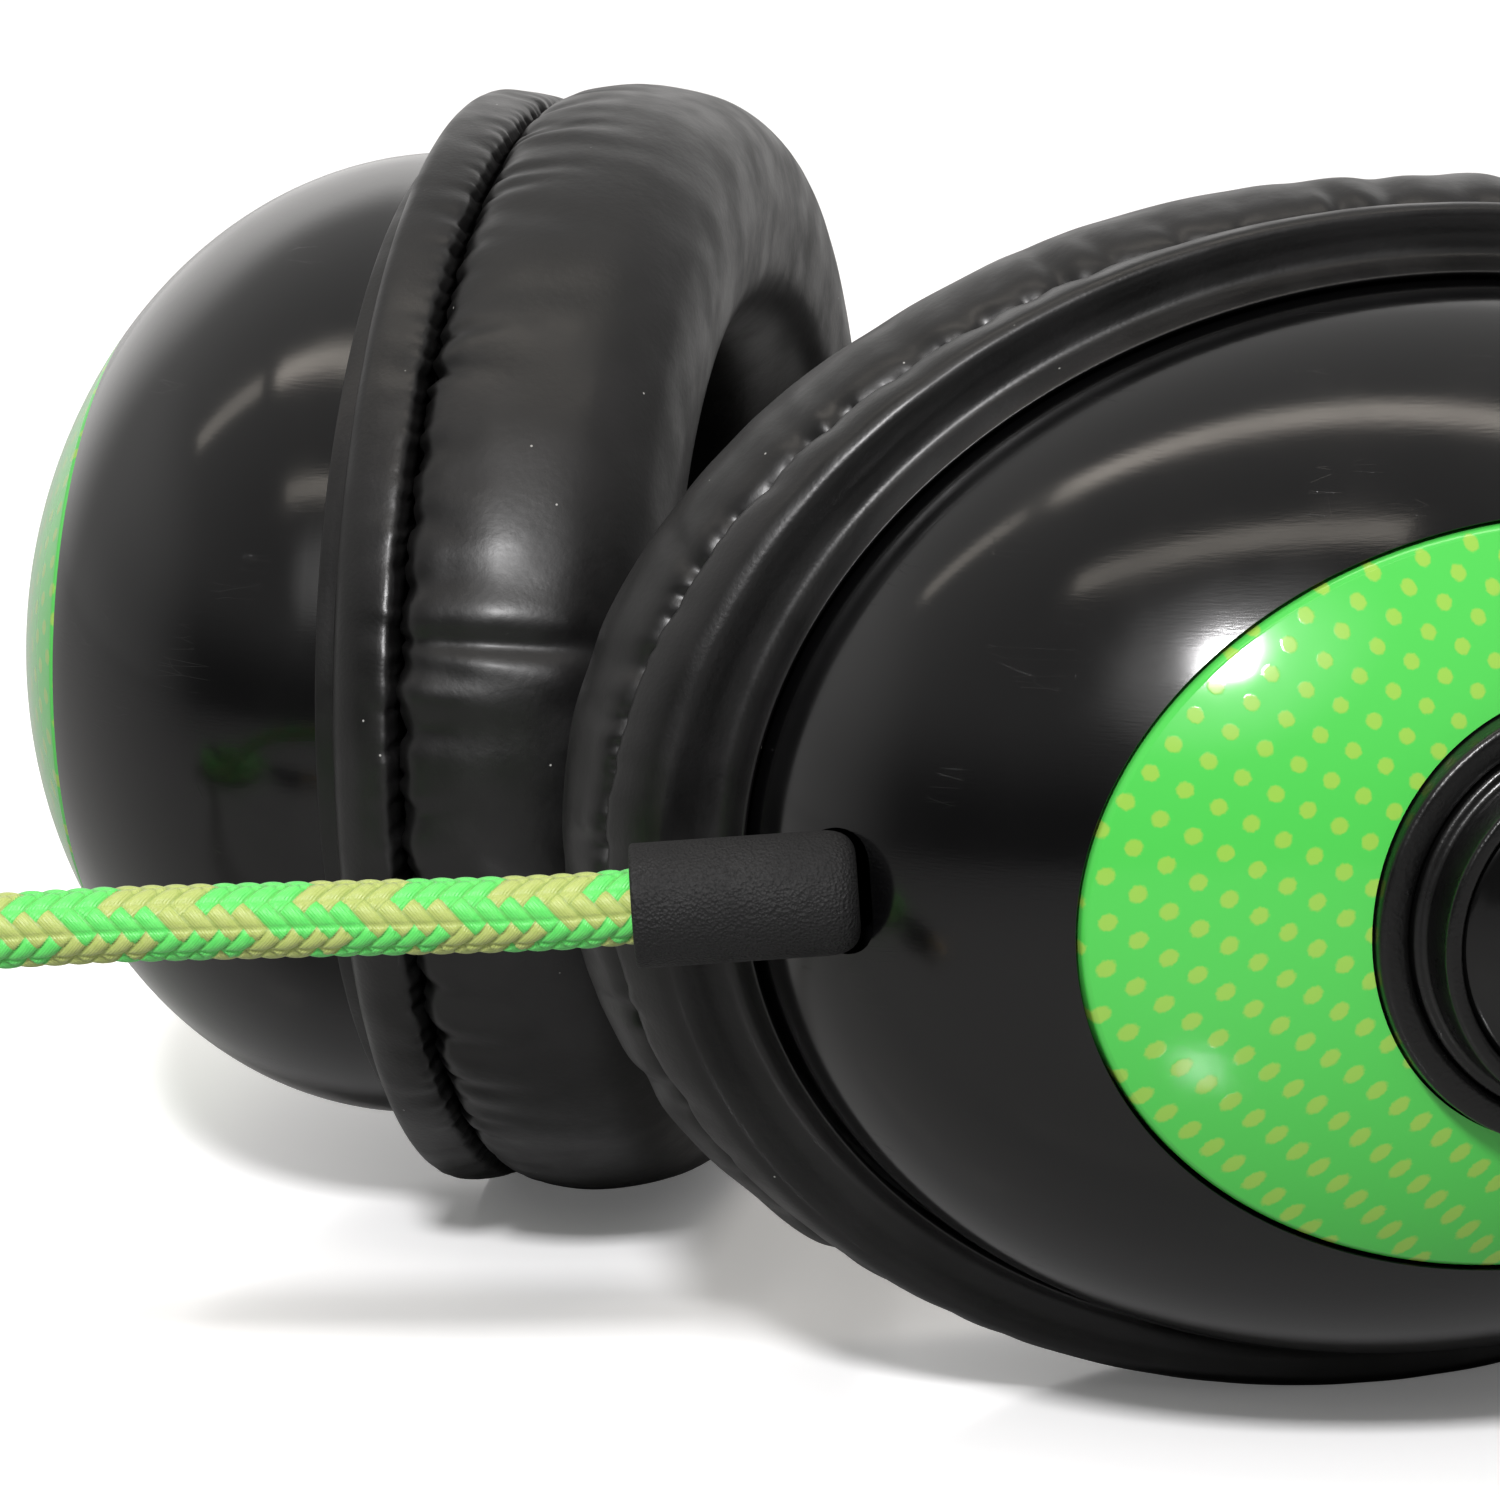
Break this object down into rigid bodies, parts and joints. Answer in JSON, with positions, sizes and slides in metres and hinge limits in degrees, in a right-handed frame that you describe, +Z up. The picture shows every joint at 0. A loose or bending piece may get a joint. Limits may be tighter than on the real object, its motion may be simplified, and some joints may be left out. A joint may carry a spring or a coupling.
{
  "type": "gaming headset",
  "caption": "Over-ear stereo headset with oval cups, tilting and sliding arms, padded headband, swinging boom microphone and a braided cable to a stereo plug.",
  "frame": {"origin": "on the surface that the headset lies on, under the middle of its box (cord left out)", "axes": "+X out of the wearer's left ear, +Y level and towards the top of the headband, +Z up from the surface, which is the wearer's forward direction"},
  "size_m": [0.2257, 0.3634, 0.0817],
  "materials": {
    "gloss_shell": "high gloss, fine hairline scratches",
    "green_panel": "high gloss with a printed halftone of yellow-green dots",
    "leatherette": "soft synthetic leather, fine grain and wrinkles",
    "black_plastic": "fine satin moulding texture",
    "driver_steel": "plated",
    "diaphragm_film": "thin translucent film",
    "speaker_cloth": "open acoustic cloth",
    "zinc_screws": "zinc plated",
    "pin_steel": "ground",
    "spring_steel": "cold rolled, lightly brushed",
    "circuit_board": "solder mask",
    "strain_relief_rubber": "coarse matt grain",
    "braided_cord": "braided polyester sleeve in bright green and pale olive blocks",
    "strap_fabric": "hook and loop strap",
    "gold_contacts": "gold plated contacts with black rings",
    "wire_jacket": "thin jacket",
    "boom_rubber": "soft-touch tube",
    "foam": "open-cell foam"
  },
  "bodies": {
    "left_cup": {"left_shell": "gloss_shell", "left_panel": "green_panel", "left_cushion_ring": "leatherette", "left_baffle": "black_plastic", "left_driver_frame": "driver_steel", "left_driver_magnet": "driver_steel", "left_diaphragm": "diaphragm_film", "left_ear_cloth": "speaker_cloth", "left_cushion": "leatherette", "left_shell_screws": "zinc_screws", "left_hinge_bracket": "black_plastic", "left_bracket_screws": "zinc_screws", "left_hinge_pin": "pin_steel", "mic_pivot_ring": "black_plastic", "cable_board": "circuit_board", "cable_gland": "strain_relief_rubber", "cord_lead": "braided_cord", "cord_coil": "braided_cord", "cord_tail": "braided_cord", "cord_tie": "strap_fabric", "plug_relief": "strain_relief_rubber", "plug_body": "black_plastic", "plug_pin": "gold_contacts"},
    "left_arm": {"left_knuckle": "black_plastic", "left_slider": "spring_steel"},
    "headband": {"headband_shell": "gloss_shell", "headband_spring": "spring_steel", "headband_liner": "black_plastic", "headband_pad": "leatherette", "crossover_wire": "wire_jacket", "left_housing": "black_plastic", "left_housing_cover": "black_plastic", "right_housing": "black_plastic", "right_housing_cover": "black_plastic", "headband_screws": "zinc_screws"},
    "right_arm": {"right_knuckle": "black_plastic", "right_slider": "spring_steel"},
    "right_cup": {"right_shell": "gloss_shell", "right_panel": "green_panel", "right_cushion_ring": "leatherette", "right_baffle": "black_plastic", "right_driver_frame": "driver_steel", "right_driver_magnet": "driver_steel", "right_diaphragm": "diaphragm_film", "right_ear_cloth": "speaker_cloth", "right_cushion": "leatherette", "right_shell_screws": "zinc_screws", "right_hinge_bracket": "black_plastic", "right_bracket_screws": "zinc_screws", "right_hinge_pin": "pin_steel"},
    "mic": {"mic_hub": "black_plastic", "mic_hub_cap": "gloss_shell", "mic_retainer": "pin_steel", "mic_retainer_screw": "zinc_screws", "mic_boom": "boom_rubber", "mic_capsule": "driver_steel", "mic_windscreen": "foam"}
  },
  "joints": [
    {"name": "mic_swing", "type": "hinge", "parent": "left_cup", "child": "mic", "pos_m": [0.05119, -0.06343, 0.03987], "axis": [0.8634, -0.504, -0.022], "range_deg": [0, 130]},
    {"name": "left_tilt", "type": "hinge", "parent": "left_cup", "child": "left_arm", "pos_m": [0.067, -0.0064, 0.03535], "axis": [0, 0.0436, -0.999], "range_deg": [0, 26]},
    {"name": "left_slide", "type": "slide", "parent": "left_arm", "child": "headband", "axis": [0, 0.99, -0.1409], "range_m": [0, 0.02]},
    {"name": "right_slide", "type": "slide", "parent": "headband", "child": "right_arm", "axis": [0, -0.99, 0.1409], "range_m": [0, 0.02]},
    {"name": "right_tilt", "type": "hinge", "parent": "right_arm", "child": "right_cup", "pos_m": [-0.107, -0.0064, 0.03535], "axis": [0, 0.0436, -0.999], "range_deg": [0, 28]}
  ]
}
